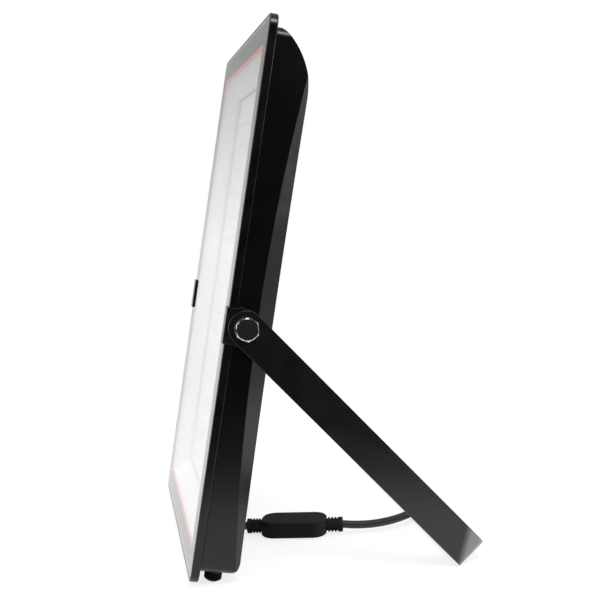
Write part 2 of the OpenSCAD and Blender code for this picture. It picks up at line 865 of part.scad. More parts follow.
// Three cores from the lead's inner end, up the pocket, through the board and down into the terminal block
module inner_cores() {
    top_z = (slot_bottom + slot_top) / 2;
    front_y = board_front - core_d / 2 - 0.8;
    color("#7a5a3a")
        for (i = [-1, 0, 1])
            tube([for (p = [
                [entry_x + i * core_spread * cos(30), jacket_end, entry_z + (i == 0 ? 1 : -0.5) * core_spread],
                [entry_x + i * core_gap * 0.7, jacket_end - 2, entry_z + (i == 0 ? 2.4 : 0.6)],
                [entry_x + i * core_gap, jacket_end - 2.6, entry_z + 5.4],
                [entry_x + i * core_gap, jacket_end - 2.6, top_z - 4],
                [entry_x + i * core_gap, floor_depth, top_z - 0.6],
                [entry_x + i * core_gap, board_front, top_z],
                [entry_x + i * core_gap, front_y + 0.2, top_z - 1.6],
                [entry_x + i * core_gap, front_y, terminal_top - 3]]) in_room(p)],
                core_d / 2, core_sides, -grommet_out, in_room([0, 0, -1]) - in_room([0, 0, 0]));
}

// Slotted tail along Y, from y = 0 outwards: rings, two bars that join them and a collar at the end
module ribbed_tail(length) {
    slots = 4;
    collar = 2;
    bar_w = 2;
    root = 1;
    step = (length - collar) / slots;
    rotate([-90, 0, 0]) {
        translate([0, 0, -root])
            cylinder(d = tail_d - 1.8, h = length + root);
        for (i = [1 : slots])
            translate([0, 0, (i - 0.5) * step])
                cylinder(d = tail_d, h = step / 2 + (i == slots ? collar : 0));
        intersection() {
            translate([0, 0, -root])
                cylinder(d = tail_d, h = length + root);
            translate([-tail_d / 2, -bar_w / 2, -root])
                cube([tail_d, bar_w, length + root]);
        }
    }
}

// Outline of the block seen from above, drawn in by a margin
module block_plan(margin) {
    round_rect(block_w - 2 * margin, block_l - 2 * margin, block_r - margin);
}

module joint_block() {
    color("#1a1a1b")
        on_block() {
            difference() {
                hull() {
                    translate([0, 0, -block_h / 2])
                        linear_extrude(height = block_h)
                            block_plan(block_edge);
                    translate([0, 0, block_edge - block_h / 2])
                        linear_extrude(height = block_h - 2 * block_edge)
                            block_plan(0);
                }
                translate([0, 0, block_h / 2 - part_line[0]])
                    linear_extrude(height = part_line[1])
                        difference() {
                            square([block_w + 2, block_l + 2], center = true);
                            block_plan(part_line[2]);
                        }
            }
            translate([0, block_l / 2, 0])
                ribbed_tail(outlet_tail_l);
            rotate([0, 0, 180])
                translate([0, block_l / 2, 0])
                    ribbed_tail(inlet_tail_l);
        }
}

// Route of one bare core beyond the stripped end
function core_route(i) = concat([outlet_end + core_spread * (cos(90 + 120 * i) * side_of(outlet_out)
    + sin(90 + 120 * i) * cross(side_of(outlet_out), outlet_out))],
    [for (b = core_bends) outlet_end + b + core_side_steps[i]]);

module lead_cores() {
    core_colours = ["#6b3f1e", "#1f4fa8", "#5c9a2e"];
    for (i = [0 : 2])
        color(core_colours[i])
            tube(core_route(i), core_d / 2, core_sides, outlet_out, [-1, 0, 0.05]);
}

module core_tips() {
    color("#c7c1b4")
        for (i = [0 : 2])
            translate(core_route(i)[len(core_bends)])
                rotate([0, -90 + atan(0.05), 0])
                    cylinder(d = tip_d, h = tip_len, $fn = 24);
}

housing();
bezel();
glass();
glass_seal();
housing_gasket();
reflector();
led_board();
led_chips();
driver_parts();
terminal_block();
thermal_pad();
board_screws();
right_clip();
left_clip();
pivot_bolts();
spring_washers();
bracket();
bottom_plugs();
plug_seals();
cable_grommet();
inner_cores();
inlet_lead();
joint_block();
outlet_lead();
lead_cores();
core_tips();
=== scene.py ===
# %% [markdown]
# # An LED flood light on its bracket
# The lamp is a flat black casting with a glass front. It leans back on a bent steel strip.
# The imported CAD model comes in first, as a fixed frame: every node already has its true
# size and place. Blender then adds what a camera sees, which is rounded edges, coatings,
# ink on the back of the glass, a supple lead, light and a camera.

# %% Load the frame
import math

import bpy
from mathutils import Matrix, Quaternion, Vector


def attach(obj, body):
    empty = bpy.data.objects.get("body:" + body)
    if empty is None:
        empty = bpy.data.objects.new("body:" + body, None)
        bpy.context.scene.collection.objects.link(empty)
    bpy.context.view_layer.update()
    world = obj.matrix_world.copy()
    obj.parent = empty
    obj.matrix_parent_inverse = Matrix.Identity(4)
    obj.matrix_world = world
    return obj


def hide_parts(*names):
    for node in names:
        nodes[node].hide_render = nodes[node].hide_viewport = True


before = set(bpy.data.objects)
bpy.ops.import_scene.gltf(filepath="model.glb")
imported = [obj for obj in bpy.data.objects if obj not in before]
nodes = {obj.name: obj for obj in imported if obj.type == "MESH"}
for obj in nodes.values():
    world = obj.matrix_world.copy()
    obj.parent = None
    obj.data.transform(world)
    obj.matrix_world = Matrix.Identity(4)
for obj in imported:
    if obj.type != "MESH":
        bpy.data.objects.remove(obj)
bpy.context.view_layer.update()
scene = bpy.context.scene
MM = 0.001


def rounded(point):
    """Point with four decimals, for printing."""
    return tuple(round(c, 4) for c in point)


# %% [markdown]
# ## Camera
# The photograph was taken from beside the lamp, about three quarters of a metre away and a
# little above its middle, with the camera slightly rolled. A target point and a roll angle
# are easier to read than three Euler angles, so the rotation is built from those two.

# %% Place the camera
CAMERA_AT = Vector((0.7573, -0.1295, 0.2301))
CAMERA_TARGET = Vector((0.0, 0.0003, 0.1581))
CAMERA_ROLL = math.radians(-1.96)
CAMERA_LENS = 66.0
SENSOR_W = 36.0
CLIP_FROM = 0.01


def aimed(at, target):
    """Rotation that points a camera or a lamp from one point at another."""
    return (Vector(target) - Vector(at)).to_track_quat("-Z", "Y")


camera_data = bpy.data.cameras.new("camera")
camera_data.lens = CAMERA_LENS
camera_data.sensor_width = SENSOR_W
camera_data.clip_start = CLIP_FROM
camera = bpy.data.objects.new("camera", camera_data)
scene.collection.objects.link(camera)
camera.rotation_mode = "QUATERNION"
camera.location = CAMERA_AT
camera.rotation_quaternion = aimed(CAMERA_AT, CAMERA_TARGET) @ Quaternion((0, 0, 1), CAMERA_ROLL)
scene.camera = camera
print("camera looks from", rounded(CAMERA_AT))

# %% [markdown]
# ## The lamp's own frame
# The head was drawn upright and then leaned back, so flat things on the glass are easiest to
# model upright too. This helper gives the place in the room of a point on the upright head:
# X across, Y back from the frame's face and Z up from the frame's bottom edge, in millimetres.

# %% Lean helper
HEAD_LEAN = math.radians(10.4)
HEAD_SHIFT_Y = -92.528
HEAD_LIFT = 2.857


def on_head(x, y, z):
    """Point in the room, in metres, of a point on the upright head, in millimetres."""
    c, s = math.cos(HEAD_LEAN), math.sin(HEAD_LEAN)
    return Vector((x, y * c + z * s + HEAD_SHIFT_Y, z * c - y * s + HEAD_LIFT)) * MM


print("frame's bottom edge is at", rounded(on_head(0, 0, 0)))

# %% [markdown]
# ## Node helpers
# A material is a tree of nodes, and most finishes below are a few colours mixed by masks.
# These small functions add a node with its settings, read a noise or a distance on the piece's
# own coordinates, and turn such values into masks and colours.

# %% Nodes, ranges and colours
NODE_STEP = 190
COLOUR_A, COLOUR_B, COLOUR_OUT = 6, 7, 2    # a Mix node has sockets for every kind of data


def add_node(tree, kind, **settings):
    """New node, placed to the right of the ones before it."""
    node = tree.nodes.new("ShaderNode" + kind)
    node.location = (NODE_STEP * len(tree.nodes), 0)
    for name, value in settings.items():
        setattr(node, name, value)
    return node


def map_range(tree, value, from_low, from_high, to_low=0.0, to_high=1.0):
    """Value socket mapped from one range to another, and clamped."""
    node = add_node(tree, "MapRange")
    tree.links.new(value, node.inputs["Value"])
    for name, number in (("From Min", from_low), ("From Max", from_high),
                         ("To Min", to_low), ("To Max", to_high)):
        node.inputs[name].default_value = number
    return node.outputs["Result"]


def combine(tree, operation, first, second):
    """Value socket worked out from two others."""
    node = add_node(tree, "Math", operation=operation)
    tree.links.new(first, node.inputs[0])
    tree.links.new(second, node.inputs[1])
    return node.outputs[0]


def mix_colours(tree, mask, low, high):
    """Colour socket that goes from low to high as mask goes from 0 to 1."""
    mix = add_node(tree, "Mix", data_type="RGBA")
    tree.links.new(mask, mix.inputs["Factor"])
    for socket, value in ((mix.inputs[COLOUR_A], low), (mix.inputs[COLOUR_B], high)):
        if isinstance(value, bpy.types.NodeSocket):
            tree.links.new(value, socket)
        else:
            socket.default_value = (*value, 1)
    return mix.outputs[COLOUR_OUT]


print("node helpers ready")

# %% Values on the piece's own coordinates
PLAIN_DETAIL = 2.0
NOISE_LOW, NOISE_HIGH = 0.3, 0.7    # nearly all of a noise lies between these


def object_noise(tree, scale, detail=PLAIN_DETAIL):
    """Noise as a value socket. Its scale is a number or a socket."""
    place = add_node(tree, "TexCoord")
    noise = add_node(tree, "TexNoise")
    noise.inputs["Detail"].default_value = detail
    tree.links.new(place.outputs["Object"], noise.inputs["Vector"])
    if isinstance(scale, bpy.types.NodeSocket):
        tree.links.new(scale, noise.inputs["Scale"])
    else:
        noise.inputs["Scale"].default_value = scale
    return noise.outputs["Fac"]


def object_measure(tree, direction):
    """How far along a direction a point lies, as a value socket."""
    place = add_node(tree, "TexCoord")
    measure = add_node(tree, "VectorMath", operation="DOT_PRODUCT")
    measure.inputs[1].default_value = direction
    tree.links.new(place.outputs["Object"], measure.inputs[0])
    return measure.outputs["Value"]


def one_axis(tree, vector, axis):
    """X, Y or Z of a vector socket, as a value socket."""
    parts = add_node(tree, "SeparateXYZ")
    tree.links.new(vector, parts.inputs["Vector"])
    return parts.outputs[axis]


print("noise, measure and axis helpers ready")

# %% [markdown]
# ## Shared effects
# Powder coat has a fine pebbled skin and a slow mottling. Edges that are handled lose a
# little coat and turn paler. Dust settles on what faces up. Each effect is a group that is
# built once, and each material places it with its own values.

# %% Group helpers


def new_group(name, inputs, outputs):
    """Empty shader group with named float inputs and outputs."""
    group = bpy.data.node_groups.new(name, "ShaderNodeTree")
    for titles, way in ((inputs, "INPUT"), (outputs, "OUTPUT")):
        for title in titles:
            group.interface.new_socket(title, in_out=way, socket_type="NodeSocketFloat")
    return group, group.nodes.new("NodeGroupInput"), group.nodes.new("NodeGroupOutput")


def place_group(tree, group, **values):
    """The group as a node in a tree, with its own values."""
    node = add_node(tree, "Group", node_tree=group)
    for name, value in values.items():
        node.inputs[name.replace("_", " ").title()].default_value = value
    return node


print("group helpers ready")

# %% Powder skin
GRAIN_DETAIL = 2.5
MOTTLE_DETAIL = 3.0

skin, skin_in, skin_out = new_group("powder_skin", ["Grain Scale", "Mottle Scale"],
                                    ["Height", "Mottle"])
grain = object_noise(skin, skin_in.outputs["Grain Scale"], GRAIN_DETAIL)
mottle = object_noise(skin, skin_in.outputs["Mottle Scale"], MOTTLE_DETAIL)
skin.links.new(grain, skin_out.inputs["Height"])
skin.links.new(mottle, skin_out.inputs["Mottle"])
print("group:", skin.name)

# %% Rubbed edges
EDGE_FROM, EDGE_TO = 0.52, 0.60
SPOT_SCALE = 90.0
SPOT_FROM, SPOT_TO = 0.35, 0.70

rub, rub_in, rub_out = new_group("rubbed_edges", ["Amount"], ["Mask"])
shape = add_node(rub, "NewGeometry")
sharp = map_range(rub, shape.outputs["Pointiness"], EDGE_FROM, EDGE_TO)
spots = map_range(rub, object_noise(rub, SPOT_SCALE), SPOT_FROM, SPOT_TO)
both = combine(rub, "MULTIPLY", sharp, spots)
rub.links.new(combine(rub, "MULTIPLY", both, rub_in.outputs["Amount"]), rub_out.inputs["Mask"])
print("group:", rub.name)

# %% Settled dust
UPWARD_FROM, UPWARD_TO = 0.3, 1.0
CLOUD_SCALE = 45.0
CLOUD_DETAIL = 6.0

dust, dust_in, dust_out = new_group("settled_dust", ["Amount"], ["Mask"])
shape = add_node(dust, "NewGeometry")
upward = map_range(dust, one_axis(dust, shape.outputs["Normal"], "Z"), UPWARD_FROM, UPWARD_TO)
both = combine(dust, "MULTIPLY", upward, object_noise(dust, CLOUD_SCALE, CLOUD_DETAIL))
dust.links.new(combine(dust, "MULTIPLY", both, dust_in.outputs["Amount"]),
               dust_out.inputs["Mask"])
print("group:", dust.name)

# %% [markdown]
# ## Coated and moulded finishes
# The casting, the frame, the strip and the plastic pieces are all black, and differ in how
# fine their skin is and how much they shine. One function sets up that kind of surface: two
# dark tones mixed by the mottling, paler edges, a trace of dust and a fine bump.

# %% Recipe for a coat
DUST_GREY = (0.16, 0.155, 0.15)
DUST_AMOUNT = 0.05
RUB_AMOUNT = 0.5
MOTTLE_SCALE = 22.0
PLAIN_SPECULAR = 0.5
PLAIN_SHEEN = (1, 1, 1)


def new_material(name):
    """New material, with its tree and its shader."""
    material = bpy.data.materials.new(name)
    material.use_nodes = True
    return material, material.node_tree, material.node_tree.nodes["Principled BSDF"]


def add_bump(tree, shader, height, depth):
    """Bump on a shader from a height socket, with a depth in metres."""
    bump = add_node(tree, "Bump")
    bump.inputs["Strength"].default_value = 1.0
    bump.inputs["Distance"].default_value = depth
    tree.links.new(height, bump.inputs["Height"])
    tree.links.new(bump.outputs["Normal"], shader.inputs["Normal"])


def coated(name, dark, light, worn, rough, grain_scale, grain_depth, dust_amount=DUST_AMOUNT,
           mottle_scale=MOTTLE_SCALE, specular=PLAIN_SPECULAR, tint=PLAIN_SHEEN):
    """Material with a pebbled skin, mottled tones, rubbed edges and dust."""
    material, tree, shader = new_material(name)
    surface = place_group(tree, skin, grain_scale=grain_scale, mottle_scale=mottle_scale)
    edges = place_group(tree, rub, amount=RUB_AMOUNT)
    film = place_group(tree, dust, amount=dust_amount)
    tone = map_range(tree, surface.outputs["Mottle"], NOISE_LOW, NOISE_HIGH)
    colour = mix_colours(tree, tone, dark, light)
    colour = mix_colours(tree, edges.outputs["Mask"], colour, worn)
    colour = mix_colours(tree, film.outputs["Mask"], colour, DUST_GREY)
    tree.links.new(colour, shader.inputs["Base Color"])
    gloss = map_range(tree, surface.outputs["Mottle"], NOISE_LOW, NOISE_HIGH, *rough)
    tree.links.new(gloss, shader.inputs["Roughness"])
    add_bump(tree, shader, surface.outputs["Height"], grain_depth)
    shader.inputs["Specular IOR Level"].default_value = specular
    shader.inputs["Specular Tint"].default_value = (*tint, 1)
    return material


print("recipe for coats ready")

# %% Black coats on metal
COOL_SHEEN = (0.96, 0.92, 1.0)

casting_coat = coated("casting_coat", (0.0016, 0.0016, 0.0021), (0.0026, 0.0026, 0.0032),
                      (0.035, 0.035, 0.037), rough=(0.22, 0.28), grain_scale=1500,
                      grain_depth=0.00002, specular=0.44, tint=COOL_SHEEN)
frame_coat = coated("frame_coat", (0.0016, 0.0016, 0.0020), (0.0024, 0.0024, 0.0029),
                    (0.05, 0.05, 0.052), rough=(0.20, 0.26), grain_scale=1900,
                    grain_depth=0.000015, specular=0.44, tint=COOL_SHEEN)
strip_coat = coated("strip_coat", (0.0016, 0.0016, 0.0021), (0.0028, 0.0028, 0.0034),
                    (0.05, 0.05, 0.052), rough=(0.26, 0.32), grain_scale=1500,
                    grain_depth=0.00002, specular=0.66, tint=COOL_SHEEN)
clip_coat = coated("clip_coat", (0.002, 0.002, 0.0024), (0.003, 0.003, 0.0035),
                   (0.07, 0.07, 0.072), rough=(0.26, 0.34), grain_scale=1800,
                   grain_depth=0.000015, tint=COOL_SHEEN)
print("coats:", casting_coat.name, frame_coat.name, strip_coat.name, clip_coat.name)

# %% Black mouldings
plug_nylon = coated("plug_nylon", (0.003, 0.003, 0.003), (0.005, 0.005, 0.005),
                    (0.02, 0.02, 0.02), rough=(0.50, 0.60), grain_scale=900,
                    grain_depth=0.00001, specular=0.05)
block_plastic = coated("block_plastic", (0.015, 0.015, 0.0155), (0.020, 0.020, 0.0205),
                       (0.04, 0.04, 0.042), rough=(0.70, 0.80), grain_scale=1100,
                       grain_depth=0.00003, specular=0.08)
lead_jacket = coated("lead_jacket", (0.012, 0.012, 0.0125), (0.018, 0.018, 0.019),
                     (0.02, 0.02, 0.02), rough=(0.36, 0.48), grain_scale=700,
                     grain_depth=0.00002, mottle_scale=120)
seal_rubber = coated("seal_rubber", (0.010, 0.010, 0.010), (0.018, 0.018, 0.018),
                     (0.03, 0.03, 0.03), rough=(0.6, 0.75), grain_scale=800,
                     grain_depth=0.00003)
print("mouldings:", plug_nylon.name, block_plastic.name, lead_jacket.name, seal_rubber.name)

# %% [markdown]
# ## Bare metal
# The pivot bolts are stainless. Bar stock is drawn and its faces are turned, so a stretched
# noise roughens it in fine lines. The screws and the tinned wire ends use the same recipe.

# %% Bright metals
LINE_DETAIL = 4.0
LINE_DEPTH = 0.000006


def bright_metal(name, pale, deep, rough, stretch):
    """Metal with fine drawn lines, from a noise with its own scale along each axis."""
    material, tree, shader = new_material(name)
    shader.inputs["Metallic"].default_value = 1.0
    place = add_node(tree, "TexCoord")
    mapping = add_node(tree, "Mapping")
    mapping.inputs["Scale"].default_value = stretch
    lines = add_node(tree, "TexNoise")
    lines.inputs["Scale"].default_value = 1.0
    lines.inputs["Detail"].default_value = LINE_DETAIL
    tree.links.new(place.outputs["Object"], mapping.inputs["Vector"])
    tree.links.new(mapping.outputs["Vector"], lines.inputs["Vector"])
    tone = map_range(tree, lines.outputs["Fac"], NOISE_LOW, NOISE_HIGH)
    tree.links.new(mix_colours(tree, tone, pale, deep), shader.inputs["Base Color"])
    gloss = map_range(tree, lines.outputs["Fac"], NOISE_LOW, NOISE_HIGH, *rough)
    tree.links.new(gloss, shader.inputs["Roughness"])
    add_bump(tree, shader, lines.outputs["Fac"], LINE_DEPTH)
    return material


stainless = bright_metal("stainless", (0.72, 0.71, 0.69), (0.60, 0.59, 0.57),
                         rough=(0.10, 0.18), stretch=(300, 1800, 1800))
zinc_screw = bright_metal("zinc_screw", (0.66, 0.67, 0.68), (0.50, 0.51, 0.53),
                          rough=(0.2, 0.4), stretch=(900, 900, 900))
tinned_wire = bright_metal("tinned_wire", (0.70, 0.66, 0.58), (0.45, 0.40, 0.33),
                           rough=(0.25, 0.45), stretch=(300, 4000, 4000))
print("metals:", stainless.name, zinc_screw.name, tinned_wire.name)

# %% [markdown]
# ## Pale finishes inside
# The reflector is matte white plastic, and the board and its small parts are under a white
# mask. They use the same recipe as the coats, with pale tones, and so do the terminal, the
# chips with their phosphor and the grey heat pad.

# %% Pale mouldings
reflector_white = coated("reflector_white", (0.84, 0.84, 0.835), (0.90, 0.90, 0.895),
                         (0.92, 0.92, 0.91), rough=(0.42, 0.55), grain_scale=700,
                         grain_depth=0.00001, dust_amount=0.0)
board_white = coated("board_white", (0.78, 0.79, 0.78), (0.86, 0.86, 0.85),
                     (0.88, 0.88, 0.87), rough=(0.35, 0.45), grain_scale=500,
                     grain_depth=0.00001, dust_amount=0.0, mottle_scale=60)
chip_white = coated("chip_white", (0.80, 0.79, 0.74), (0.88, 0.87, 0.82),
                    (0.9, 0.9, 0.86), rough=(0.3, 0.4), grain_scale=900,
                    grain_depth=0.000005, dust_amount=0.0)
phosphor = coated("phosphor", (0.78, 0.56, 0.10), (0.90, 0.70, 0.18),
                  (0.9, 0.75, 0.3), rough=(0.2, 0.3), grain_scale=2500,
                  grain_depth=0.000005, dust_amount=0.0)
masked_part = coated("masked_part", (0.64, 0.64, 0.63), (0.72, 0.72, 0.71),
                     (0.75, 0.75, 0.74), rough=(0.4, 0.5), grain_scale=1500,
                     grain_depth=0.00001, dust_amount=0.0)
heat_pad = coated("heat_pad", (0.30, 0.31, 0.32), (0.38, 0.39, 0.40),
                  (0.4, 0.4, 0.4), rough=(0.6, 0.7), grain_scale=900, grain_depth=0.00002)
print("pale finishes:", reflector_white.name, board_white.name, phosphor.name)

# %% [markdown]
# ## Glass
# The front is tempered glass. It is seen almost edge on, so it mirrors the pale room and still
# lets the white reflector through. Light has to get in to the reflector as well, and a
# refracting shell blocks lamp light in a path tracer, so shadow and diffuse rays pass freely.

# %% Front glass
GLASS_TINT = (0.97, 0.985, 0.98)
GLASS_IOR = 1.5
HAZE_SCALE = 14.0
HAZE_ROUGH = (0.008, 0.025)

front_glass, tree, shader = new_material("front_glass")
shader.inputs["Base Color"].default_value = (*GLASS_TINT, 1)
shader.inputs["Transmission Weight"].default_value = 1.0
shader.inputs["IOR"].default_value = GLASS_IOR
haze = map_range(tree, object_noise(tree, HAZE_SCALE), NOISE_LOW, NOISE_HIGH, *HAZE_ROUGH)
tree.links.new(haze, shader.inputs["Roughness"])
clear = add_node(tree, "BsdfTransparent")
path = add_node(tree, "LightPath")
passes = combine(tree, "MAXIMUM", path.outputs["Is Shadow Ray"], path.outputs["Is Diffuse Ray"])
pick = add_node(tree, "MixShader")
tree.links.new(passes, pick.inputs["Fac"])
tree.links.new(shader.outputs["BSDF"], pick.inputs[1])
tree.links.new(clear.outputs["BSDF"], pick.inputs[2])
tree.links.new(pick.outputs["Shader"], tree.nodes["Material Output"].inputs["Surface"])
print("glass:", front_glass.name)

# %% [markdown]
# ## Softened castings and strips
# A CAD edge is perfectly sharp, and nothing real is: a coat of powder or a mould gives every
# edge a small radius, and that radius is what catches the light. A CAD mesh is loose
# triangles, so the way is to copy it, merge the copy, dissolve its flat triangles and bevel
# what is still sharp. Large faces then set the shading at their corners, which keeps them
# even. The copy then stands for the node.

# %% Helpers for any piece
MERGE_WITHIN = 0.000002
FLAT_WITHIN = math.radians(0.3)


def only(*pieces):
    """Selects these objects alone and makes the first one active."""
    bpy.ops.object.select_all(action="DESELECT")
    for piece in pieces:
        piece.select_set(True)
    bpy.context.view_layer.objects.active = pieces[0]


def merged_copy(node, name):
    """Copy of a CAD node with its triangles joined into one clean surface."""
    piece = nodes[node].copy()
    piece.data = nodes[node].data.copy()
    piece.name = piece.data.name = name
    for key in list(piece.keys()):
        del piece[key]
    piece.parent = None
    scene.collection.objects.link(piece)
    only(piece)
    bpy.ops.mesh.customdata_custom_splitnormals_clear()
    bpy.ops.object.mode_set(mode="EDIT")
    bpy.ops.mesh.select_all(action="SELECT")
    bpy.ops.mesh.remove_doubles(threshold=MERGE_WITHIN)
    bpy.ops.mesh.dissolve_limited(angle_limit=FLAT_WITHIN)
    bpy.ops.object.mode_set(mode="OBJECT")
    return piece


def dress(piece, body, material):
    """Gives a finished piece its finish and lets it ride on its body."""
    piece.data.materials.clear()
    piece.data.materials.append(material)
    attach(piece, body)


print("piece helpers ready")

# %% Soften helper
EDGE_SEGMENTS = 3
SHARP_FROM = math.radians(32)
SMOOTH_BELOW = math.radians(40)


def softened(node, name, radius, body, material, sharp_from=SHARP_FROM):
    """Copy of a CAD node with rounded edges, which stands for the node."""
    piece = merged_copy(node, name)
    bevel = piece.modifiers.new("edge", "BEVEL")
    bevel.width = radius
    bevel.segments = EDGE_SEGMENTS
    bevel.limit_method = "ANGLE"
    bevel.angle_limit = sharp_from
    bevel.use_clamp_overlap = False
    only(piece)
    bpy.ops.object.modifier_apply(modifier="edge")
    bpy.ops.object.shade_smooth_by_angle(angle=SMOOTH_BELOW)
    level = piece.modifiers.new("level", "WEIGHTED_NORMAL")
    level.keep_sharp = True
    bpy.ops.object.modifier_apply(modifier="level")
    dress(piece, body, material)
    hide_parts(node)
    print(name, "has", len(piece.data.polygons), "faces")
    return piece


# %% Soften the rigid pieces
FINE_EDGE = 0.0003
FRAME_EDGE = 0.0008
STRIP_EDGE = 0.0004
BOLT_EDGE = 0.0005
BOLT_SHARP_FROM = math.radians(20)
WASHER_EDGE = 0.00015
GROMMET_EDGE = 0.0005

softened("housing", "cast_housing", FINE_EDGE, "head", casting_coat)
softened("bezel", "front_frame", FRAME_EDGE, "head", frame_coat)
softened("bracket", "bent_strip", STRIP_EDGE, "bracket", strip_coat)
softened("right_clip", "near_clip", FINE_EDGE, "head", clip_coat)
softened("left_clip", "far_clip", FINE_EDGE, "head", clip_coat)
softened("pivot_bolts", "hex_bolts", BOLT_EDGE, "head", stainless,
         sharp_from=BOLT_SHARP_FROM)
softened("spring_washers", "split_washers", WASHER_EDGE, "head", stainless)
softened("bottom_plugs", "domed_plugs", FINE_EDGE, "head", plug_nylon)
block = softened("joint_block", "moulded_block", FINE_EDGE, "head", block_plastic)
softened("cable_grommet", "entry_grommet", GROMMET_EDGE, "head", seal_rubber)

# %% [markdown]
# ## Painted highlight on the bends
# The two bends of the strip get a painted highlight: a pale, mostly metallic patch over the
# coat, which stands in for the bright reflection that the bends catch.
# The bend is conical and starts along a slanting line, so a slanting measure along the arm
# marks it, and the crossbar between the bends is left out by its distance from the middle.

# %% Painted highlight on the bends
ARM_DROP = math.radians(47.56)
PIVOT = Vector((0.0, -53.377, 154.684)) * MM
BEND_SLANT = 0.595
BEND_FROM, BEND_TO = 189.5 * MM, 195.0 * MM
CROSSBAR_HALF = 112.0 * MM
CROSSBAR_FADE = 8 * MM
BEND_HIGHLIGHT_GREY = (0.24, 0.24, 0.25)
BEND_HIGHLIGHT_METALLIC = 0.85


def paint_over(material, mask, colour):
    """Lays a colour over a material's own, where the mask says."""
    tree = material.node_tree
    base = tree.nodes["Principled BSDF"].inputs["Base Color"]
    under = base.links[0].from_socket
    tree.links.new(mix_colours(tree, mask, under, colour), base)


arm_along = Vector((0, math.cos(ARM_DROP), -math.sin(ARM_DROP)))
arm_across = Vector((0, math.sin(ARM_DROP), math.cos(ARM_DROP)))
slanting = arm_along + BEND_SLANT * arm_across
tree = strip_coat.node_tree
start = PIVOT.dot(slanting)
bent = map_range(tree, object_measure(tree, slanting), start + BEND_FROM, start + BEND_TO)
place = add_node(tree, "TexCoord")
side = add_node(tree, "Math", operation="ABSOLUTE")
tree.links.new(one_axis(tree, place.outputs["Object"], "X"), side.inputs[0])
outer = map_range(tree, side.outputs[0], CROSSBAR_HALF - CROSSBAR_FADE, CROSSBAR_HALF)
# Painted highlight: where this mask is 1, a pale metallic grey stands in for the bends'
# reflection.
rubbed = combine(tree, "MULTIPLY", bent, outer)
paint_over(strip_coat, rubbed, BEND_HIGHLIGHT_GREY)
tree.links.new(map_range(tree, rubbed, 0.0, 1.0, 0.0, BEND_HIGHLIGHT_METALLIC),
               tree.nodes["Principled BSDF"].inputs["Metallic"])
print("bends gleam from", round(BEND_FROM, 4), "m along the arm")

# %% [markdown]
# ## Pieces whose CAD shape is right
# The glass and what sits behind it or in a joint, such as the flat board, its screws, the
# reflector and the seals, need no change of shape. They keep their meshes and only get a finish.

# %% Finish the inner nodes
INNER_FINISHES = {
    "glass": front_glass, "glass_seal": seal_rubber, "housing_gasket": seal_rubber,
    "reflector": reflector_white, "led_board": board_white, "driver_parts": masked_part,
    "terminal_block": chip_white, "thermal_pad": heat_pad, "board_screws": zinc_screw,
    "plug_seals": seal_rubber, "core_tips": tinned_wire,
}
for node, material in INNER_FINISHES.items():
    nodes[node].data.materials.clear()
    nodes[node].data.materials.append(material)
print("finished nodes:", len(INNER_FINISHES))

# %% [markdown]
# ## Painted shade at the reflector's foot
# Where the reflector meets the board, a thin line of shade shows from the side, and it is
# painted on the reflector as grey. A point's depth in the head is its measure along the head's
# inward direction, so the deepest part of the reflector's wall can be marked and painted grey.

# %% Painted shade at the foot
FOOT_SHADE_W = 1.6 * MM
FOOT_SHADE_GREY = (0.10, 0.10, 0.10)

inward = Vector((0, math.cos(HEAD_LEAN), -math.sin(HEAD_LEAN)))
foot = max(inward.dot(vertex.co) for vertex in nodes["reflector"].data.vertices)
tree = reflector_white.node_tree
joint = map_range(tree, object_measure(tree, inward), foot - FOOT_SHADE_W, foot - FOOT_SHADE_W / 2)
# Painted shade: the deepest band of the reflector's wall is made grey.
paint_over(reflector_white, joint, FOOT_SHADE_GREY)
print("reflector's foot is", round(foot - inward.dot(on_head(0, 0, 0)), 4), "m behind the frame")

# %% [markdown]
# ## Light-emitting chips
# Each chip is a white package with a shallow well full of yellow phosphor. The CAD node holds
# plain blocks, so a merged copy gets its front faces inset and pushed in, all in one go, and
# the pushed-in faces get the phosphor.

# %% Wells in the chips
WELL_BORDER = 0.00035
WELL_DEPTH = 0.00015
FACING_FRONT = -0.9

chips = merged_copy("led_chips", "chip_packages")
chips.data.materials.clear()
chips.data.materials.append(chip_white)
chips.data.materials.append(phosphor)
only(chips)
bpy.ops.object.mode_set(mode="EDIT")
bpy.ops.mesh.select_mode(type="FACE")
bpy.ops.mesh.select_all(action="DESELECT")
bpy.ops.object.mode_set(mode="OBJECT")
for face in chips.data.polygons:
    face.select = face.normal.y < FACING_FRONT
bpy.ops.object.mode_set(mode="EDIT")
bpy.ops.mesh.inset(thickness=WELL_BORDER, depth=-WELL_DEPTH, use_individual=True)
chips.active_material_index = 1
bpy.ops.object.material_slot_assign()
bpy.ops.object.mode_set(mode="OBJECT")
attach(chips, "head")
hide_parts("led_chips")
print("chips:", len(chips.data.polygons), "faces")

# %% [markdown]
# ## Printed border
# The glass carries black ink on its back, all round the window, and a thin red keyline along
# the window's edge. Ink is a film, so it is a thin sheet just inside the back of the glass: a
# plane, inset to make the window, with the middle deleted and a little thickness.

# %% Ink ring helper
PANEL_W, PANEL_H = 240.0, 340.0
GLASS_T = 3.0
INK_INSIDE = 0.08
INK_T = 0.00006
START_INSET = 0.1
OUTER_BEYOND = 0.45     # between the inset and the edge of a plane of size 1


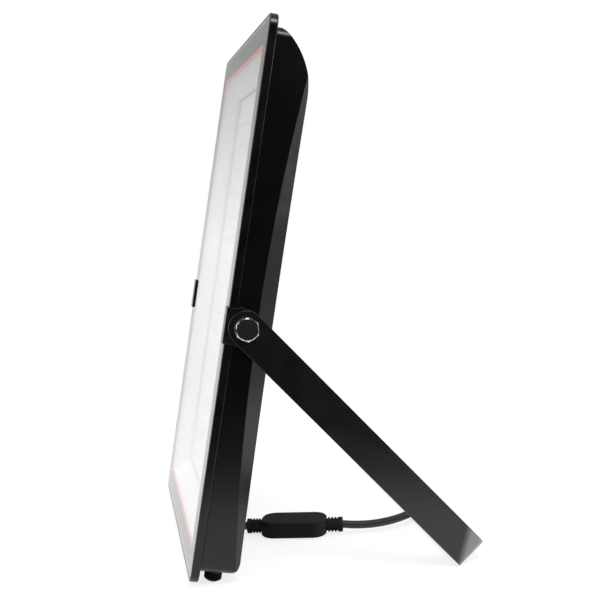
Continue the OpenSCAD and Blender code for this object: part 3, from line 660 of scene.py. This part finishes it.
def ink_ring(name, outer, inner, material):
    """Flat ring of ink in the back of the glass, between two rectangles (width, height)."""
    only(camera)
    bpy.ops.mesh.primitive_plane_add(size=1.0)
    ring = bpy.context.active_object
    ring.name = ring.data.name = name
    bpy.ops.object.mode_set(mode="EDIT")
    bpy.ops.mesh.select_all(action="SELECT")
    bpy.ops.mesh.inset(thickness=START_INSET)
    bpy.ops.mesh.delete(type="ONLY_FACE")
    bpy.ops.object.mode_set(mode="OBJECT")
    for vertex in ring.data.vertices:
        at_edge = max(abs(vertex.co.x), abs(vertex.co.y)) > OUTER_BEYOND
        w, h = outer if at_edge else inner
        x = math.copysign(w / 2, vertex.co.x)
        z = math.copysign(h / 2, vertex.co.y) + PANEL_H / 2
        vertex.co = on_head(x, GLASS_T - INK_INSIDE, z)
    solid = ring.modifiers.new("film", "SOLIDIFY")
    solid.thickness = INK_T
    only(ring)
    bpy.ops.object.modifier_apply(modifier="film")
    bpy.ops.object.mode_set(mode="EDIT")
    bpy.ops.mesh.select_all(action="SELECT")
    bpy.ops.mesh.normals_make_consistent(inside=False)
    bpy.ops.object.mode_set(mode="OBJECT")
    dress(ring, "head", material)
    return ring


print("ink lies", INK_INSIDE, "mm inside the glass")

# %% Border and keyline
INK_EDGE = 4.6
WINDOW_W, WINDOW_H = 197.6, 300.8
KEYLINE_W = 3.0

border_ink = coated("border_ink", (0.006, 0.006, 0.006), (0.009, 0.009, 0.009),
                    (0.01, 0.01, 0.01), rough=(0.4, 0.5), grain_scale=900,
                    grain_depth=0.000004, dust_amount=0.0)
keyline_ink = coated("keyline_ink", (0.62, 0.10, 0.05), (0.70, 0.14, 0.08),
                     (0.7, 0.14, 0.08), rough=(0.4, 0.5), grain_scale=900,
                     grain_depth=0.000004, dust_amount=0.0)
keyline_outer = (WINDOW_W + 2 * KEYLINE_W, WINDOW_H + 2 * KEYLINE_W)
border = ink_ring("border_print", (PANEL_W - 2 * INK_EDGE, PANEL_H - 2 * INK_EDGE),
                  keyline_outer, border_ink)
keyline = ink_ring("keyline_print", keyline_outer, (WINDOW_W, WINDOW_H), keyline_ink)
print("ink:", border.name, keyline.name)

# %% [markdown]
# ## The lead
# The lead leaves the grommet low on the back, runs through a moulded block and goes on behind
# the near arm, where it ends in three stripped cores. It is one smooth curve through the same
# points as in the CAD source, with a round profile, so it bends as a cable does.

# %% Cable helper
ROUND_STEPS = 6
LENGTH_STEPS = 10


def cable(name, points, diameter, material):
    """Round cable along points in metres."""
    data = bpy.data.curves.new(name, "CURVE")
    data.dimensions = "3D"
    data.bevel_depth = diameter / 2
    data.bevel_resolution = ROUND_STEPS
    data.resolution_u = LENGTH_STEPS
    data.use_fill_caps = True
    spline = data.splines.new("BEZIER")
    spline.bezier_points.add(len(points) - 1)
    for knot, point in zip(spline.bezier_points, points):
        knot.co = point
        knot.handle_left_type = knot.handle_right_type = "AUTO"
    piece = bpy.data.objects.new(name, data)
    scene.collection.objects.link(piece)
    dress(piece, "head", material)
    return piece


print("cable helper ready")

# %% Lead
LEAD_D = 0.0054
ENTRY_X, ENTRY_Z = 19.0, 11.6
ENTRY_Y_IN, ENTRY_Y_OUT = 30.5, 35.5
BLOCK_AT = Vector((29.1, -14.05, 6.139))
BLOCK_TURN = math.radians(16.0)
BLOCK_RISE = math.radians(1.0)
BLOCK_ALONG = Vector((math.sin(BLOCK_TURN) * math.cos(BLOCK_RISE),
                      math.cos(BLOCK_TURN) * math.cos(BLOCK_RISE), math.sin(BLOCK_RISE)))
BLOCK_STEPS = (-32.3, -22.0, -10.0, 0.0, 10.0, 22.0, 33.3)
BEFORE_BLOCK = ((19.1, -52.0, 6.97), (19.45, -48.6, 6.0))
AFTER_BLOCK = ((39.8, 24.8, 6.3), (40.6, 32.7, 6.0), (40.3, 40.7, 6.0), (38.9, 48.6, 6.3),
               (36.5, 56.2, 6.8), (33.6, 62.6, 7.4))
LEAD_END = Vector((29.6, 69.1, 8.2))

lead_exit = on_head(ENTRY_X, ENTRY_Y_OUT, ENTRY_Z)
lead_route = [on_head(ENTRY_X, ENTRY_Y_IN, ENTRY_Z), lead_exit]
lead_route += [Vector(point) * MM for point in BEFORE_BLOCK]
lead_route += [(BLOCK_AT + step * BLOCK_ALONG) * MM for step in BLOCK_STEPS]
lead_route += [Vector(point) * MM for point in (*AFTER_BLOCK, LEAD_END)]
lead = cable("supply_lead", lead_route, LEAD_D, lead_jacket)
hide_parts("inlet_lead", "outlet_lead")

# %% [markdown]
# ## Stripped cores
# The jacket ends and three thin cores, brown, blue and green, fan out of it. Each is a cable
# of its own: it starts at its place in the jacket's end, a third of a turn from the next, and
# follows a common bend with a small step to its side.

# %% Three cores
CORE_D = 0.0020
CORE_COLOURS = {"brown": (0.13, 0.045, 0.018), "blue": (0.02, 0.09, 0.40),
                "green": (0.12, 0.33, 0.04)}
CORE_SHADE = 0.8
CORE_SPREAD = 1.26
FIRST_CORE_AT, CORE_TURN = 90, 120
CORE_BENDS = [(-1.6, 2.2, 1.1), (-5, 3.9, 2.6), (-12, 4.6, 3.8), (-20, 4.8, 4.4)]
CORE_SIDE_STEPS = [(0.3, 0.3, 2.4), (-1.6, -1.6, 0), (1.2, 1.2, -0.3)]
LEAD_HEADING = Vector((-0.52, 0.83, 0.12))

end_out = LEAD_HEADING.normalized()
end_side = end_out.cross(Vector((0, 0, 1))).normalized()
end_up = end_side.cross(end_out)
for i, (colour, rgb) in enumerate(CORE_COLOURS.items()):
    shade = tuple(CORE_SHADE * c for c in rgb)
    insulation = coated("core_" + colour, shade, rgb, rgb, rough=(0.3, 0.4), grain_scale=900,
                        grain_depth=0.000005)
    turn = math.radians(FIRST_CORE_AT + CORE_TURN * i)
    start = LEAD_END + CORE_SPREAD * (math.cos(turn) * end_side + math.sin(turn) * end_up)
    route = [start] + [LEAD_END + Vector(b) + Vector(CORE_SIDE_STEPS[i]) for b in CORE_BENDS]
    cable("bare_core_" + colour, [p * MM for p in route], CORE_D, insulation)
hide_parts("lead_cores")

# %% [markdown]
# ## End of the lead
# The lead leaves the lamp at the grommet and ends bare. The block and the cores belong to it.

print("lead built")

# %% [markdown]
# ## Cores inside the housing
# Three cores climb from the lead's inner end through a slot in the board and drop into the
# terminal. They are hidden behind the reflector, but the solids are faceted, so smooth cables
# stand for them here as well.

# %% Inner cores
CORE_PITCH = 3.4
SIDE_AT_LEAD = 1.09
FAN_SHARE = 0.7
Y_AT_LEAD, Y_AT_FAN = 22.4, 20.4
UP_AT_LEAD = (-0.63, 1.26, -0.63)
UP_AT_FAN = (0.6, 2.4, 0.6)
CLIMB = ((19.8, 5.4), (19.8, 11.25), (17.4, 14.65), (15.4, 15.25), (13.8, 13.65), (13.6, 7.5))

for i, (colour, lead_up, fan_up) in enumerate(zip(CORE_COLOURS, UP_AT_LEAD, UP_AT_FAN), -1):
    x = ENTRY_X + i * CORE_PITCH
    route = [(ENTRY_X + i * SIDE_AT_LEAD, Y_AT_LEAD, ENTRY_Z + lead_up),
             (ENTRY_X + i * CORE_PITCH * FAN_SHARE, Y_AT_FAN, ENTRY_Z + fan_up)]
    route += [(x, y, ENTRY_Z + up) for y, up in CLIMB]
    cable("inner_core_" + colour, [on_head(*p) for p in route], CORE_D,
                       bpy.data.materials["core_" + colour])
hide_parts("inner_cores")

# %% [markdown]
# ## Studio
# The photograph is a cut-out on white. A pale floor takes the soft contact shadow and fades
# out into a white room. The eye sees the room at full white. What the glass and the metal
# mirror is white at the horizon and darker above it, and what lights the lamp is softer.

# %% Floor
FLOOR_WHITE = (0.30, 0.30, 0.30)
FLOOR_ROUGH = 0.9
FLOOR_SPECULAR = 0.1
FLOOR_GLOW = 0.77
FLOOR_SIZE = 4.0
FADE_FROM, FADE_TO = 0.25, 0.75

only(camera)
bpy.ops.mesh.primitive_plane_add(size=FLOOR_SIZE)
floor = bpy.context.active_object
floor.name = "floor"
floor_paper, tree, shader = new_material("floor_paper")
shader.inputs["Base Color"].default_value = (*FLOOR_WHITE, 1)
shader.inputs["Roughness"].default_value = FLOOR_ROUGH
shader.inputs["Specular IOR Level"].default_value = FLOOR_SPECULAR
place = add_node(tree, "TexCoord")
far = add_node(tree, "VectorMath", operation="LENGTH")
tree.links.new(place.outputs["Object"], far.inputs[0])
fade = map_range(tree, far.outputs["Value"], FADE_FROM, FADE_TO, 1.0, 0.0)
tree.links.new(fade, shader.inputs["Alpha"])
shader.inputs["Emission Color"].default_value = (1, 1, 1, 1)
path = add_node(tree, "LightPath")
glow = map_range(tree, path.outputs["Is Diffuse Ray"], 0.0, 1.0, FLOOR_GLOW, 0.0)
tree.links.new(glow, shader.inputs["Emission Strength"])
floor.data.materials.append(floor_paper)
print("floor:", FLOOR_SIZE, "m")

# %% World
ROOM_WHITE = 1.0
ROOM_DUSK = 0.5
ROOM_FILL = 0.72
DUSK_FROM, DUSK_TO = 0.0, 0.16

world = bpy.data.worlds.new("studio")
scene.world = world
world.use_nodes = True
tree = world.node_tree
background = tree.nodes["Background"]
background.inputs["Color"].default_value = (1, 1, 1, 1)
path = add_node(tree, "LightPath")
place = add_node(tree, "TexCoord")
mirrored = map_range(tree, one_axis(tree, place.outputs["Generated"], "Z"), DUSK_FROM, DUSK_TO,
                     ROOM_WHITE, ROOM_DUSK)
mirrors = combine(tree, "MAXIMUM", path.outputs["Is Glossy Ray"],
                  path.outputs["Is Transmission Ray"])
level = add_node(tree, "Mix", data_type="FLOAT")
level.inputs["A"].default_value = ROOM_FILL
tree.links.new(mirrors, level.inputs["Factor"])
tree.links.new(mirrored, level.inputs["B"])
seen = add_node(tree, "Mix", data_type="FLOAT")
seen.inputs["B"].default_value = ROOM_WHITE
tree.links.new(path.outputs["Is Camera Ray"], seen.inputs["Factor"])
tree.links.new(level.outputs["Result"], seen.inputs["A"])
tree.links.new(seen.outputs["Result"], background.inputs["Strength"])
scene.view_settings.view_transform = "Standard"
print("world fill:", ROOM_FILL)

# %% [markdown]
# ## Cards
# A black coat shows little but what it mirrors, so black goods are photographed between cards.
# A dark card stands along the near side and is paler at its foot. A grey one stands behind
# the lamp and is paler at its top. Both are hidden from the camera and show in reflections
# alone.

# %% Two cards


def graded_card(name, at, size, facing, heights, glows):
    """Upright card, graded between two heights, that shows in reflections alone."""
    only(camera)
    bpy.ops.mesh.primitive_plane_add(size=1.0, location=at,
                                     rotation=(math.radians(90), 0, math.radians(facing)))
    piece = bpy.context.active_object
    piece.name = name
    piece.scale = (*size, 1)
    paper, tree, shader = new_material(name + "_paper")
    shader.inputs["Base Color"].default_value = (0, 0, 0, 1)
    shader.inputs["Roughness"].default_value = 1.0
    shader.inputs["Emission Color"].default_value = (1, 1, 1, 1)
    spot = add_node(tree, "NewGeometry")
    height = one_axis(tree, spot.outputs["Position"], "Z")
    tree.links.new(map_range(tree, height, *heights, *glows), shader.inputs["Emission Strength"])
    piece.data.materials.append(paper)
    piece.visible_camera = piece.visible_diffuse = piece.visible_shadow = False
    piece.visible_transmission = False
    print("card:", name)


graded_card("dark_card", at=(0.31, 0.1, 0.225), size=(2.0, 0.45), facing=90,
            heights=(0.0, 0.06), glows=(0.22, 0.0))
graded_card("grey_card", at=(0.0, 0.3, 0.14), size=(1.2, 0.28), facing=0,
            heights=(0.17, 0.27), glows=(0.4, 1.0))

# %% [markdown]
# ## Lamps
# Three soft lamps add to the light of the room. A wide one in front lights the reflector
# through the glass, a small one behind lights the back, and a small one above the near side
# lights the top edges. All are weak, so that no pale surface clips to white.

# %% Three lamps
LAMP_TARGET = (0, 0, 0.16)


def soft_lamp(name, at, size, power):
    """Square soft lamp at a point, aimed at the middle of the lamp's head."""
    data = bpy.data.lights.new(name, "AREA")
    data.size = size
    data.energy = power
    lamp = bpy.data.objects.new(name, data)
    scene.collection.objects.link(lamp)
    lamp.location = at
    lamp.rotation_mode = "QUATERNION"
    lamp.rotation_quaternion = aimed(at, LAMP_TARGET)


soft_lamp("key_lamp", at=(-0.5, -1.1, 0.7), size=1.6, power=8.0)
soft_lamp("back_lamp", at=(0.35, 1.1, 0.32), size=0.4, power=5.0)
soft_lamp("top_lamp", at=(0.62, 0.1, 0.94), size=0.35, power=4.0)
